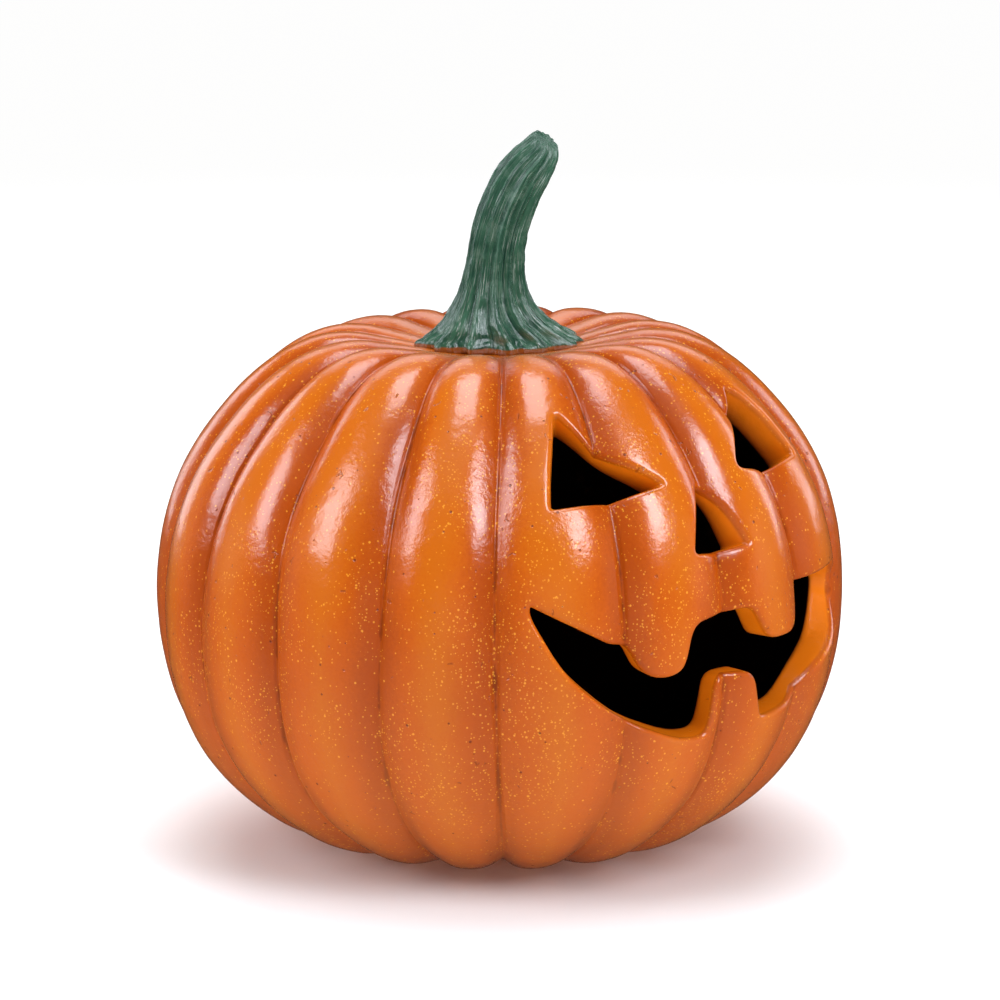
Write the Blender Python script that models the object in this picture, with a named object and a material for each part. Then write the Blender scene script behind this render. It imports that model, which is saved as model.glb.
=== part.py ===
import math

import bmesh
import bpy
from mathutils import Vector
from mathutils.geometry import delaunay_2d_cdt

for old in list(bpy.data.objects):
    bpy.data.objects.remove(old, do_unlink=True)

# A hollow, moulded pumpkin lantern with a carved face and a green stem.
# Metres, +Z up, standing on z = 0 with its face along -Y.
# Lengths below are in millimetres and angles in degrees.

mm = 0.001

# Body: the profile along the crest of a lobe, from the crown to the foot.
# Each station is (radius, height, depth of the groove between two lobes).
bodyStations = [
    (42, 233, 0.0),
    (55, 235.6, 1.2),
    (68, 237.5, 2.6),
    (84, 236, 4.0),
    (100, 229.5, 5.2),
    (126, 207.5, 6.3),
    (148, 175.5, 6.4),
    (158.5, 139, 5.6),
    (160, 119, 5.0),
    (156, 80, 4.0),
    (140, 44, 4.0),
    (112.5, 17, 5.0),
    (85, 3.8, 5.6),
    (68, 0.9, 4.0),
    (55, 0, 0.0),
]
lobeCount = 18
lobePower = 2.4
grooveSoftness = 0.07
lobeCuts = [0.0, 0.07, 0.22, 0.5, 0.78, 0.93]
bodyRows = 25
frontGroove = -2
frontSway = [(0.0, 1.0), (0.5, -1.0), (1.0, 0.0)]
otherSway = 0.5

# The body slumps a little: higher towards this side, with its foot set over.
slumpAzimuth = 50
slumpFoot = 0.9
slumpCrown = 0.45
slumpFade = 12

# Cavity: a smooth wall inside the lobes, over a flat floor.
wallThickness = 15
floorThickness = 13
cavityColumns = 48
cavityRows = 13

# Face: each corner is (angle from the middle of the face, height, rounding).
leftEye = [
    (-28.2, 219.6, 1.5), (-24.5, 214.6, 9), (-19.4, 203.8, 8), (-12.0, 194.2, 9),
    (-8.8, 188.8, 1.5), (-18.6, 185.6, 6), (-31.4, 182.6, 1.5), (-30.8, 198, 9),
]
rightEye = [
    (24.6, 219.5, 1.5), (21.2, 212.2, 6), (13.0, 200.6, 9), (9.0, 190.4, 2),
    (20.0, 186.6, 8), (31.2, 187.6, 1.5), (29.6, 201, 9), (27.6, 214.5, 5),
]
nose = [
    (-1.0, 185.6, 2), (2.4, 176.6, 9), (6.2, 159.0, 1.5), (0.0, 158.2, 9),
    (-6.2, 158.8, 1.5), (-4.2, 174, 9),
]
mouth = [
    (-36.2, 143.2, 0.8), (-27.6, 131.4, 9), (-21.6, 122.6, 3), (-19.6, 123.4, 3),
    (-16.4, 107.2, 3.5), (-13.0, 106.4, 4), (-9.8, 107.4, 3.2), (-7.6, 128.6, 3.5), (5.4, 131.0, 3.0), (8.6, 115.0, 3.0),
    (17.8, 114.4, 3.2), (18.6, 135.0, 1.5), (33.8, 136.0, 1.5), (38.0, 118.0, 9),
    (34.4, 102.0, 9), (24.7, 92.4, 9), (17.6, 80.4, 6), (8.2, 77.8, 2.6),
    (5.4, 101.0, 3.2), (-2.5, 101.2, 3.0), (-3.2, 75.0, 3.2), (-9.0, 76.0, 8),
    (-20.2, 88.6, 12), (-29.7, 111.0, 14), (-35.2, 138.0, 4),
]
# (name, corners, share of the surface's slope that the cut follows, narrowing)
faceCuts = [
    ("cut_eye_left", leftEye, 1.0, 1.0),
    ("cut_eye_right", rightEye, 1.0, 1.0),
    ("cut_nose", nose, 1.0, 0.86),
    ("cut_mouth", mouth, 0.4, 1.0),
]
outlineStep = 5.5
cutProud = 9
cutDeep = 27
cutTurn = 12

# Stem: (height, shift along the lean, mean radius, ridge depth, lean angle).
stemStations = [
    (233.3, 0.0, 36.0, 3.6, 0),
    (236.0, 0.0, 33.0, 3.4, 0),
    (240.0, -1.2, 26.0, 2.6, 0),
    (246.0, -2.4, 20.2, 1.7, 0),
    (253.0, -2.8, 16.6, 1.2, 1),
    (262.0, -2.5, 13.4, 0.9, 4),
    (275.0, -1.6, 12.3, 0.8, 8),
    (286.0, 0.4, 12.1, 0.8, 14),
    (297.0, 4.0, 11.8, 0.8, 20),
    (308.0, 8.6, 11.7, 0.7, 25),
    (316.5, 13.6, 11.2, 0.6, 26),
    (323.4, 18.6, 9.4, 0.4, 20),
    (325.6, 20.4, 7.6, 0.3, 16),
]
# the cut tip also leans towards one side of the lean
stemNod = 24
stemRidges = 10
stemColumns = 40
stemRows = 21
stemLeanAzimuth = 50
stemFootFront = 0.78


def makeMaterial(name, colour, roughness):
    material = bpy.data.materials.new(name)
    material.use_nodes = True
    shader = material.node_tree.nodes["Principled BSDF"]
    shader.inputs["Base Color"].default_value = (*colour, 1.0)
    shader.inputs["Roughness"].default_value = roughness
    shader.inputs["Metallic"].default_value = 0.0
    material.diffuse_color = (*colour, 1.0)
    return material


# A natural cubic spline through the stations, one curve for each column.
class Spline:
    def __init__(self, places, values):
        self.x = places
        self.y = values
        n = len(places)
        gap = [places[i + 1] - places[i] for i in range(n - 1)]
        lower, middle, upper, right = [0.0] * n, [1.0] * n, [0.0] * n, [0.0] * n
        for i in range(1, n - 1):
            lower[i] = gap[i - 1]
            middle[i] = 2 * (gap[i - 1] + gap[i])
            upper[i] = gap[i]
            right[i] = 6 * ((values[i + 1] - values[i]) / gap[i]
                            - (values[i] - values[i - 1]) / gap[i - 1])
        for i in range(1, n):
            share = lower[i] / middle[i - 1]
            middle[i] -= share * upper[i - 1]
            right[i] -= share * right[i - 1]
        self.bend = [0.0] * n
        self.bend[n - 1] = right[n - 1] / middle[n - 1]
        for i in range(n - 2, -1, -1):
            self.bend[i] = (right[i] - upper[i] * self.bend[i + 1]) / middle[i]

    def __call__(self, place):
        i = 0
        while i < len(self.x) - 2 and place > self.x[i + 1]:
            i += 1
        gap = self.x[i + 1] - self.x[i]
        before, after = place - self.x[i], self.x[i + 1] - place
        return ((self.bend[i] * after ** 3 + self.bend[i + 1] * before ** 3) / (6 * gap)
                + (self.y[i] / gap - self.bend[i] * gap / 6) * after
                + (self.y[i + 1] / gap - self.bend[i + 1] * gap / 6) * before)


def runLengths(points):
    total, out = 0.0, [0.0]
    for a, b in zip(points, points[1:]):
        total += math.dist(a, b)
        out.append(total)
    return [value / total for value in out]


bodyPlaces = runLengths([station[:2] for station in bodyStations])
crestRadius = Spline(bodyPlaces, [station[0] for station in bodyStations])
crestHeight = Spline(bodyPlaces, [station[1] for station in bodyStations])
grooveDepth = Spline(bodyPlaces, [station[2] for station in bodyStations])
widestPlace = bodyPlaces[3]


def crest(place):
    return crestRadius(place), crestHeight(place)


# The crest's outward normal in the plane through the axis.
def crestNormal(place):
    step = 0.0005
    low, high = max(place - step, 0.0), min(place + step, 1.0)
    dr = crestRadius(high) - crestRadius(low)
    dz = crestHeight(high) - crestHeight(low)
    size = math.hypot(dr, dz)
    return -dz / size, dr / size


def placeAtHeight(height):
    low, high = widestPlace, 1.0
    for _ in range(40):
        middle = (low + high) / 2
        if crestHeight(middle) > height:
            low = middle
        else:
            high = middle
    return (low + high) / 2


# How far a groove strays from its straight meridian, in degrees.
def sway(groove, place):
    if groove == frontGroove:
        for (a, first), (b, second) in zip(frontSway, frontSway[1:]):
            if place <= b:
                share = (place - a) / (b - a)
                share = share * share * (3 - 2 * share)
                return first + (second - first) * share
    return otherSway * math.sin(2 * math.pi * place * 1.2 + 2.4 * groove)


def slump(point):
    lean = math.radians(slumpAzimuth)
    along = Vector((math.sin(lean), -math.cos(lean), 0))
    up = min(1.0, point.z / bodyStations[0][1])
    share = math.radians(slumpFoot + (slumpCrown - slumpFoot) * up)
    share *= min(1.0, max(0.0, point.z / slumpFade))
    rise = share * point.dot(along)
    over = share * max(0.0, bodyStations[8][1] - point.z)
    return point + Vector((0, 0, rise)) + along * over


def lobeSection(share):
    v = 2 * min(share, 1 - share)
    v = math.sqrt(v * v + grooveSoftness ** 2) - grooveSoftness
    v /= math.sqrt(1 + grooveSoftness ** 2) - grooveSoftness
    return (1 - min(v, 1.0)) ** lobePower


def bodyPoint(groove, share, place):
    pitch = 360 / lobeCount
    nextGroove = (groove + 1 + lobeCount // 2) % lobeCount - lobeCount // 2
    fade = min(1.0, place / 0.12) * min(1.0, (1 - place) / 0.06)
    here, there = sway(groove, place) * fade, sway(nextGroove, place) * fade
    angle = math.radians(groove * pitch + share * pitch + here + (there - here) * share)
    radius, height = crest(place)
    nr, nz = crestNormal(place)
    sink = max(grooveDepth(place), 0.0) * lobeSection(share)
    radius -= sink * nr
    height -= sink * nz
    point = Vector((radius * math.sin(angle), -radius * math.cos(angle), max(height, 0.0)))
    return slump(point) * mm


def meshObject(name, points, faces, material=None):
    mesh = bpy.data.meshes.new(name)
    mesh.from_pydata(points, [], faces)
    work = bmesh.new()
    work.from_mesh(mesh)
    bmesh.ops.remove_doubles(work, verts=work.verts, dist=1e-6)
    bmesh.ops.recalc_face_normals(work, faces=work.faces)
    work.to_mesh(mesh)
    work.free()
    piece = bpy.data.objects.new(name, mesh)
    bpy.context.collection.objects.link(piece)
    if material:
        mesh.materials.append(material)
    return piece


# Rings of points joined into bands, with a flat face over each end.
def ringedSolid(name, rings, material=None):
    columns = len(rings[0])
    points = [point for ring in rings for point in ring]
    faces = []
    for row in range(len(rings) - 1):
        for column in range(columns):
            after = (column + 1) % columns
            faces.append((row * columns + column, row * columns + after,
                          (row + 1) * columns + after, (row + 1) * columns + column))
    faces.append(tuple(range(columns)))
    last = (len(rings) - 1) * columns
    faces.append(tuple(range(last, last + columns)))
    return meshObject(name, points, faces, material)


def makeShell():
    rings = []
    for row in range(bodyRows):
        place = row / (bodyRows - 1)
        ring = []
        for lobe in range(lobeCount):
            groove = lobe - lobeCount // 2
            ring += [bodyPoint(groove, share, place) for share in lobeCuts]
        rings.append(ring)
    return ringedSolid("shell", rings, makeMaterial("glossy orange", (0.72, 0.20, 0.018), 0.28))


def makeCavity():
    rings = []
    for row in range(cavityRows):
        place = row / (cavityRows - 1)
        radius, height = crest(place)
        nr, nz = crestNormal(place)
        if row == 0:
            nr, nz = 0.0, 1.0
        radius = radius - wallThickness * nr
        height = max(height - wallThickness * nz, floorThickness)
        if row == cavityRows - 1:
            radius, height = 50.0, floorThickness
        rings.append([Vector((radius * math.sin(a), -radius * math.cos(a), height)) * mm
                      for a in (2 * math.pi * k / cavityColumns for k in range(cavityColumns))])
    return ringedSolid("cavity", rings)


# The outline on a flat map: distance around the body at its widest, and height.
def roundedOutline(corners):
    around = math.radians(1) * bodyStations[8][0]
    flat = [(Vector((angle * around, height)), rounding) for angle, height, rounding in corners]
    outline = []
    for k, (corner, rounding) in enumerate(flat):
        before = (flat[k - 1][0] - corner)
        after = (flat[(k + 1) % len(flat)][0] - corner)
        half = before.angle(after) / 2
        trim = min(rounding / math.tan(half), 0.45 * before.length, 0.45 * after.length)
        start = corner + before.normalized() * trim
        finish = corner + after.normalized() * trim
        turn = math.pi - 2 * half
        steps = max(1, math.ceil(math.degrees(turn) / 32))
        for i in range(steps + 1):
            t = i / steps
            outline.append(start * (1 - t) ** 2 + corner * 2 * t * (1 - t) + finish * t ** 2)
    dense = []
    for k, point in enumerate(outline):
        other = outline[(k + 1) % len(outline)]
        gap = (other - point).length
        if gap < 0.05:
            continue
        count = max(1, math.ceil(gap / outlineStep))
        dense += [point.lerp(other, i / count) for i in range(count)]
    return dense


# A cutter: two curved caps either side of the wall, joined along the outline.
def makeCutter(name, corners, slope, narrowing):
    around = math.radians(1) * bodyStations[8][0]
    outline = roundedOutline(corners)
    lowX, highX = min(p.x for p in outline), max(p.x for p in outline)
    lowY, highY = min(p.y for p in outline), max(p.y for p in outline)
    inner = []
    x = math.floor(lowX / cutTurn) * cutTurn
    while x < highX:
        y = math.floor(lowY / cutTurn) * cutTurn
        while y < highY:
            inner.append(Vector((x, y)))
            y += cutTurn
        x += cutTurn
    inner = [p for p in inner if min((p - q).length for q in outline) > 0.4 * outlineStep]
    flat, _, faces, sources, _, _ = delaunay_2d_cdt(
        outline + inner, [], [list(range(len(outline)))], 1, 1e-6)
    centre = sum(outline, Vector((0, 0))) / len(outline)

    def onLine(point, proud):
        share = 1.0 if proud > 0 else narrowing
        spot = centre + (point - centre) * share
        angle = math.radians(spot.x / around)
        place = placeAtHeight(spot.y)
        radius, height = crest(place)
        rise = math.atan2(crestNormal(place)[1], crestNormal(place)[0]) * slope
        radius += proud * math.cos(rise)
        height += proud * math.sin(rise)
        point = Vector((radius * math.sin(angle), -radius * math.cos(angle), height))
        return slump(point) * mm

    points = [onLine(p, cutProud) for p in flat] + [onLine(p, -cutDeep) for p in flat]
    shift = len(flat)
    solid = [tuple(face) for face in faces] + [tuple(shift + i for i in reversed(face)) for face in faces]
    edges = {}
    for face in faces:
        for a, b in zip(face, list(face[1:]) + [face[0]]):
            edges[(a, b)] = edges.get((a, b), 0) + 1
    for a, b in edges:
        if (b, a) not in edges:
            solid.append((b, a, a + shift, b + shift))
    cutter = meshObject(name, points, solid)
    cutter.hide_render = True
    cutter.display_type = "WIRE"
    return cutter


def makeStem():
    places = runLengths([station[:2] for station in stemStations])
    curves = [Spline(places, [station[k] for station in stemStations]) for k in range(5)]
    lean = math.radians(stemLeanAzimuth)
    along = Vector((math.sin(lean), -math.cos(lean), 0))
    across = Vector((math.cos(lean), math.sin(lean), 0))
    rings = []
    for row in range(stemRows):
        # rows sit closer together in the flared foot and at the cut tip
        t = row / (stemRows - 1)
        place = t - 0.10 * math.sin(2 * math.pi * t)
        height, shift, radius, ridge, tilt = [curve(place) for curve in curves]
        tilt = math.radians(max(tilt, 0.0))
        foot = max(0.0, 1 - place / 0.25)
        nod = math.radians(stemNod) * max(0.0, (place - 0.84) / 0.16)
        ring = []
        for column in range(stemColumns):
            turn = 2 * math.pi * column / stemColumns
            wave = math.cos(stemRidges * turn + 0.5) + foot * 0.45 * math.cos(3 * turn + 1.0)
            size = radius + ridge * wave
            front = max(0.0, -math.cos(turn))
            size *= 1 - (1 - stemFootFront) * foot * front ** 2
            a, b = size * math.sin(turn), size * math.cos(turn)
            point = along * (shift + a * math.cos(tilt)) + across * b * math.cos(nod)
            point.z = height - a * math.sin(tilt) + b * math.sin(nod)
            ring.append(slump(point) * mm)
        rings.append(ring)
    return ringedSolid("stem", rings, makeMaterial("glossy green", (0.012, 0.105, 0.05), 0.25))


shell = makeShell()
cavity = makeCavity()
cutters = [cavity] + [makeCutter(*cut) for cut in faceCuts]
for cutter in cutters:
    cutter.hide_render = True
    cutter.display_type = "WIRE"
    modifier = shell.modifiers.new(cutter.name, "BOOLEAN")
    modifier.operation = "DIFFERENCE"
    modifier.solver = "EXACT"
    modifier.object = cutter
makeStem()
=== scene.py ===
import math

import bmesh
import bpy
import numpy as np
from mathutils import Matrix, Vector, noise
from mathutils.geometry import delaunay_2d_cdt


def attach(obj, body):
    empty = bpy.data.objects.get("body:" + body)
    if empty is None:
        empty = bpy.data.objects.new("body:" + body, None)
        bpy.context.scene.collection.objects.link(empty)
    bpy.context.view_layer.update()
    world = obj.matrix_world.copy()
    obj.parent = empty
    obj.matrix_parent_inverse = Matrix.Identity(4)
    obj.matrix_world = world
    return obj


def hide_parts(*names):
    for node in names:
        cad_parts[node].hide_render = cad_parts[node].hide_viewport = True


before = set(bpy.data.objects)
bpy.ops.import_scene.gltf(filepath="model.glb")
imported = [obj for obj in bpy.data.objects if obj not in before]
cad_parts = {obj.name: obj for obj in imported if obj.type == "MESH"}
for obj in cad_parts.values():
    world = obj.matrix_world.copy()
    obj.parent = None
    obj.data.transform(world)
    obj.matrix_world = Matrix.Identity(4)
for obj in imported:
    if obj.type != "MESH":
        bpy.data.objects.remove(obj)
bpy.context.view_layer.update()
print("frame loaded")

mm = 0.001

body = {
    # (radius, height, groove depth) down the crest of a lobe, in millimetres
    "stations": [
        (26, 230.4, 0.0), (34, 231.4, 0.5), (42, 233, 1.2), (55, 235.6, 2.0), (68, 237.5, 3.0),
        (84, 236, 4.2), (100, 229.5, 5.2), (126, 207.5, 6.3), (148, 175.5, 6.4), (158.5, 139, 5.6),
        (160, 119, 5.0), (156, 80, 4.0), (140, 44, 4.0), (112.5, 17, 5.0),
        (85, 3.8, 5.6), (68, 0.9, 4.0), (55, 0, 0.0),
    ],
    "lobes": 18,
    "lobePower": 2.5,
    "grooveSoftness": 0.05,
    # points across half a lobe, in millimetres from its groove
    "halfLobeSteps": [0, 0.5, 0.95, 1.4, 2.0, 2.9, 4.2, 6.0, 8.6, 12, 16, 20.5, 25],
    "rows": 124,
    # the groove beside the mouth bends most: (share of the way down, degrees)
    "frontGroove": -2,
    "frontSway": [(0.0, 1.0), (0.5, -1.0), (1.0, 0.0)],
    "swayFade": (0.12, 0.06),
    # (degrees, waves down a groove, shift from one groove to the next)
    "otherSway": [(0.5, 1.2, 2.4), (0.12, 3.7, 1.3)],
    # (size, run down a groove, shift from one groove to the next, start)
    "grooveWaves": [(0.10, 0, 2.1, 1), (0.08, 9, 1.7, 0)],
    "channelWidthWave": (0.25, 23, 2.2),
    "channelDepthWave": (1, 11, 2.9),
    "channelDepth": 0.75,
    "channelHalf": 1.25,
    "channelEdge": (0.72, 1.28),
    "channelFades": (-0.5, 0.7),
    "channelWeakest": 0.3,
    "channelStart": (40, 66),
    # (size, width, shift) of the lumps
    "lumps": [(1, 34, (0, 0, 0)), (0.35, 11, (7, 1, 3))],
    "lumpFade": (1, 14),
    "unevenness": 0.35,
    "crownDip": 0.5,
    "wall": 15.0,
    "floor": 13.0,
    "innerColumns": 120,
    "innerRows": 44,
    "lipRadius": 2.4,
    "innerLip": 1.0,
    "lipAngles": (22, 45, 68, 90),
    "wallSteps": (0.25, 0.5, 0.75, 1.0),
    # (start, growth) of wallShare round the lip, and down the wall to the inside
    "lipShares": (0.02, 0.06),
    "wallShares": (0.1, 0.8),
    # where the right end of the mouth is drawn in
    "draftHeight": 109,
    "draftSpread": 17,
    "draftRun": (16, 34),
    "roundingReach": 0.45,
    "roundingStep": 14,
    "outlineStep": 1.25,
    "shortestStep": 0.05,
    "sharpBelow": 3.5,
    "easeRun": (1.5, 7),
    "easeShare": 0.5,
    "easeRounds": 14,
    # where the openings can lie: degrees to each side, lowest height, and start below the crown
    "faceHalf": 60,
    "faceLow": 45,
    "faceStart": 0.02,
    "outerClear": 0.75,
    "innerClear": 2.0,
    "capSteps": (0.8, 0.5, 0.2),
    "mergeWithin": 0.02,
    "mapRadius": 160,
    "middleHeight": 119,
    "slumpAzimuth": 50,
    "slumpFoot": 0.9,
    "slumpCrown": 0.62,
    "slumpFade": 12.0,
}

# corners of each opening: (angle from the middle of the face, height, rounding)
# slope: 1 cuts square through the wall and 0 cuts level; narrowing: width and height of the inner outline
face = {
    "leftEye": {
        "corners": [
            (-28.2, 219.6, 2.6), (-24.5, 214.6, 60), (-19.4, 203.8, 60), (-12.0, 194.2, 60),
            (-8.8, 188.8, 1.6), (-18.6, 185.6, 60), (-31.4, 182.6, 2.2), (-30.8, 198, 60),
        ],
        "slope": 1.0, "narrowing": (0.88, 0.93), "rightDraft": 0,
    },
    "rightEye": {
        "corners": [
            (24.6, 219.5, 2.2), (21.2, 212.2, 60), (13.0, 200.6, 60), (9.0, 190.4, 3),
            (20.0, 186.6, 60), (31.2, 187.6, 2), (29.6, 201, 60), (27.6, 214.5, 60),
        ],
        "slope": 1.0, "narrowing": (1.04, 1.05), "rightDraft": 0,
    },
    "nose": {
        "corners": [
            (-0.6, 188.4, 2.6), (2.9, 178.6, 60), (6.2, 159.0, 1.6), (0.0, 158.0, 60),
            (-6.2, 158.8, 2.4), (-4.2, 174, 60),
        ],
        "slope": 1.0, "narrowing": (0.66, 1.02), "rightDraft": 0,
    },
    "mouth": {
        "corners": [
            (-35.3, 142.4, 0.8), (-27.6, 131.4, 60), (-21.8, 122.6, 4), (-19.4, 123.2, 5),
            (-16.6, 107.6, 7), (-13.0, 105.6, 9), (-9.6, 107.6, 6), (-7.6, 128.8, 6),
            (5.2, 131.4, 5), (8.6, 114.2, 7), (17.8, 113.6, 7.5), (18.6, 135.0, 3),
            (34.2, 136.0, 2.5), (39.6, 127.0, 60), (40.8, 117.0, 60), (36.4, 102.6, 60), (24.7, 92.4, 60),
            (17.6, 80.0, 12), (8.2, 77.8, 4), (5.4, 102.0, 6), (-2.5, 102.2, 5.5),
            (-3.2, 74.6, 5), (-9.0, 75.4, 60), (-20.2, 88.0, 60), (-29.7, 110.6, 60),
            (-35.4, 138.0, 60),
        ],
        "slope": 0.4, "narrowing": (1.0, 1.0), "rightDraft": 10,
    },
}


def naturalSpline(places, values):
    x, y = np.array(places, float), np.array(values, float)
    gap = np.diff(x)
    system, right = np.eye(len(x)), np.zeros(len(x))
    for i in range(1, len(x) - 1):
        system[i, i - 1:i + 2] = gap[i - 1], 2 * (gap[i - 1] + gap[i]), gap[i]
        right[i] = 6 * ((y[i + 1] - y[i]) / gap[i] - (y[i] - y[i - 1]) / gap[i - 1])
    bend = np.linalg.solve(system, right)

    def curve(at):
        at = np.asarray(at, float)
        i = np.clip(np.searchsorted(x, at) - 1, 0, len(x) - 2)
        before, after, width = at - x[i], x[i + 1] - at, gap[i]
        return ((bend[i] * after ** 3 + bend[i + 1] * before ** 3) / (6 * width)
                + (y[i] / width - bend[i] * width / 6) * after
                + (y[i + 1] / width - bend[i + 1] * width / 6) * before)
    return curve


def runShares(points):
    steps = [math.dist(a, b) for a, b in zip(points, points[1:])]
    total = np.concatenate([[0], np.cumsum(steps)])
    return total / total[-1]


def smooth(low, high, value):
    t = np.clip((value - low) / (high - low), 0, 1)
    return t * t * (3 - 2 * t)


stationShares = runShares([s[:2] for s in body["stations"]])
crestRadius = naturalSpline(stationShares, [s[0] for s in body["stations"]])
crestHeight = naturalSpline(stationShares, [s[1] for s in body["stations"]])
grooveDepth = naturalSpline(stationShares, [s[2] for s in body["stations"]])

finePlaces = np.linspace(0, 1, 3001)
fineRadius, fineHeight = crestRadius(finePlaces), crestHeight(finePlaces)
fineLength = np.concatenate([[0], np.cumsum(np.hypot(np.diff(fineRadius), np.diff(fineHeight)))])
slopeR, slopeZ = np.gradient(fineRadius, fineLength), np.gradient(fineHeight, fineLength)
topIndex = int(np.argmax(fineHeight))
around = math.radians(1) * body["mapRadius"]
pitch = 360 / body["lobes"]


def crestAt(place):
    place = np.clip(place, 0, 1)
    radius, height = crestRadius(place), crestHeight(place)
    dr, dz = np.interp(place, finePlaces, slopeR), np.interp(place, finePlaces, slopeZ)
    size = np.hypot(dr, dz)
    return radius, height, -dz / size, dr / size


def placeAt(height):
    return np.interp(-np.asarray(height, float), -fineHeight[topIndex:], finePlaces[topIndex:])


def evenPlaces(count):
    return np.interp(np.linspace(0, fineLength[-1], count), fineLength, finePlaces)


# how far a groove strays from its meridian
def sway(groove, place):
    groove = (np.asarray(groove) + body["lobes"] // 2) % body["lobes"] - body["lobes"] // 2
    turn = 2 * np.pi * place
    wander = sum(size * np.sin(turn * waves + shift * groove) for size, waves, shift in body["otherSway"])
    front = np.zeros_like(wander)
    for (a, first), (b, second) in zip(body["frontSway"], body["frontSway"][1:]):
        here = (place >= a) & (place <= b)
        front = np.where(here, first + (second - first) * smooth(a, b, place), front)
    top, foot = body["swayFade"]
    fade = np.minimum(1, place / top) * np.minimum(1, (1 - place) / foot)
    return np.where(groove == body["frontGroove"], front, wander) * np.clip(fade, 0, 1)


# the body leans a little on its side, as it does in the photo
def slump(points):
    lean = math.radians(body["slumpAzimuth"])
    along = np.array([math.sin(lean), -math.cos(lean), 0])
    height = points[:, 2]
    up = np.minimum(1, height / body["stations"][0][1])
    share = np.radians(body["slumpFoot"] + (body["slumpCrown"] - body["slumpFoot"]) * up)
    share = share * np.clip(height / body["slumpFade"], 0, 1)
    moved = points.copy()
    moved[:, 2] += share * (points @ along)
    return moved + along * (share * np.maximum(0, body["middleHeight"] - height))[:, None]


def grooveEdges(groove, place):
    return groove * pitch + sway(groove, place), (groove + 1) * pitch + sway(groove + 1, place)


# which lobe an angle falls in, and how far across it
def lobeAt(angle, place):
    groove = np.floor(angle / pitch)
    left, right = grooveEdges(groove, place)
    groove = np.where(angle < left, groove - 1, np.where(angle >= right, groove + 1, groove))
    left, right = grooveEdges(groove, place)
    return groove, np.clip((angle - left) / (right - left), 0, 1)


def lobeSection(across):
    soft = body["grooveSoftness"]
    v = 2 * np.minimum(across, 1 - across)
    v = (np.sqrt(v * v + soft ** 2) - soft) / (math.sqrt(1 + soft ** 2) - soft)
    return (1 - np.minimum(v, 1)) ** body["lobePower"]


# differs from groove to groove, and changes down each one
def grooveWave(place, groove, size, run, shift, start=0):
    return size * np.sin(place * run + shift * groove + start)


def ringPoints(angle, radius, height):
    turn = np.radians(angle)
    return np.stack([radius * np.sin(turn), -radius * np.cos(turn), height], 1)


# points of the lobed outside, and how far across its lobe each one is
def outerPoint(angle, place):
    groove, across = lobeAt(angle, place)
    radius, height, nr, nz = crestAt(place)
    nearest = np.where(across < 0.5, groove, groove + 1)
    unequal = sum((grooveWave(place, nearest, *wave) for wave in body["grooveWaves"]), start=1)
    sink = np.maximum(grooveDepth(place), 0) * unequal * lobeSection(across)
    gap = np.minimum(across, 1 - across) * pitch * np.radians(1) * radius
    wide = body["channelHalf"] * (1 + grooveWave(place, nearest, *body["channelWidthWave"]))
    weakest = body["channelWeakest"]
    strength = smooth(*body["channelFades"], grooveWave(place, nearest, *body["channelDepthWave"]))
    channel = body["channelDepth"] * (strength * (1 - weakest) + weakest)
    channel = channel * (1 - smooth(*body["channelEdge"], gap / wide)) * smooth(*body["channelStart"], radius)
    sink = sink + channel
    return ringPoints(angle, radius - sink * nr, np.maximum(height - sink * nz, 0)), across


# points of the smooth inside
def innerPoint(angle, place):
    radius, height, nr, nz = crestAt(place)
    depth = body["wall"]
    return ringPoints(angle, radius - depth * nr, np.maximum(height - depth * nz, body["floor"]))


def lumpAt(point):
    return sum(size * noise.noise(point / width + Vector(shift)) for size, width, shift in body["lumps"])


# low lumps over the whole body, as in a hand-finished casting
def roughen(points):
    lumps = np.array([lumpAt(Vector(p)) for p in points])
    outward = points - np.array([0, 0, body["middleHeight"]])
    outward = outward / np.linalg.norm(outward, axis=1)[:, None]
    fade = smooth(*body["lumpFade"], points[:, 2])
    return points + outward * (lumps * body["unevenness"] * fade)[:, None]


# an opening's outline in even steps, with its corners rounded
def roundedOutline(corners):
    flat = [(Vector((angle * around, height)), rounding) for angle, height, rounding in corners]
    outline = []
    for k, (corner, rounding) in enumerate(flat):
        before = flat[k - 1][0] - corner
        after = flat[(k + 1) % len(flat)][0] - corner
        half = before.angle(after) / 2
        most = body["roundingReach"] * min(before.length, after.length)
        trim = min(rounding / math.tan(half), most)
        start, finish = corner + before.normalized() * trim, corner + after.normalized() * trim
        steps = max(2, math.ceil(math.degrees(math.pi - 2 * half) / body["roundingStep"]))
        for i in range(steps + 1):
            t = i / steps
            outline.append(start * (1 - t) ** 2 + corner * 2 * t * (1 - t) + finish * t ** 2)
    dense = []
    for k, point in enumerate(outline):
        other = outline[(k + 1) % len(outline)]
        gap = (other - point).length
        if gap < body["shortestStep"]:
            continue
        count = max(1, round(gap / body["outlineStep"]))
        dense += [point.lerp(other, i / count) for i in range(count)]
    points = np.array([(p.x, p.y) for p in dense])
    sharp = np.array([(c.x, c.y) for c, rounding in flat if rounding < body["sharpBelow"]])
    away = np.min(np.linalg.norm(points[:, None] - sharp[None], axis=2), axis=1)
    ease = body["easeShare"] * smooth(*body["easeRun"], away)[:, None]
    for _ in range(body["easeRounds"]):
        points = points + ease * ((np.roll(points, 1, 0) + np.roll(points, -1, 0)) / 2 - points)
    twice = np.sum(points[:, 0] * np.roll(points[:, 1], -1) - points[:, 1] * np.roll(points[:, 0], -1))
    return points if twice > 0 else points[::-1].copy()


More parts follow.
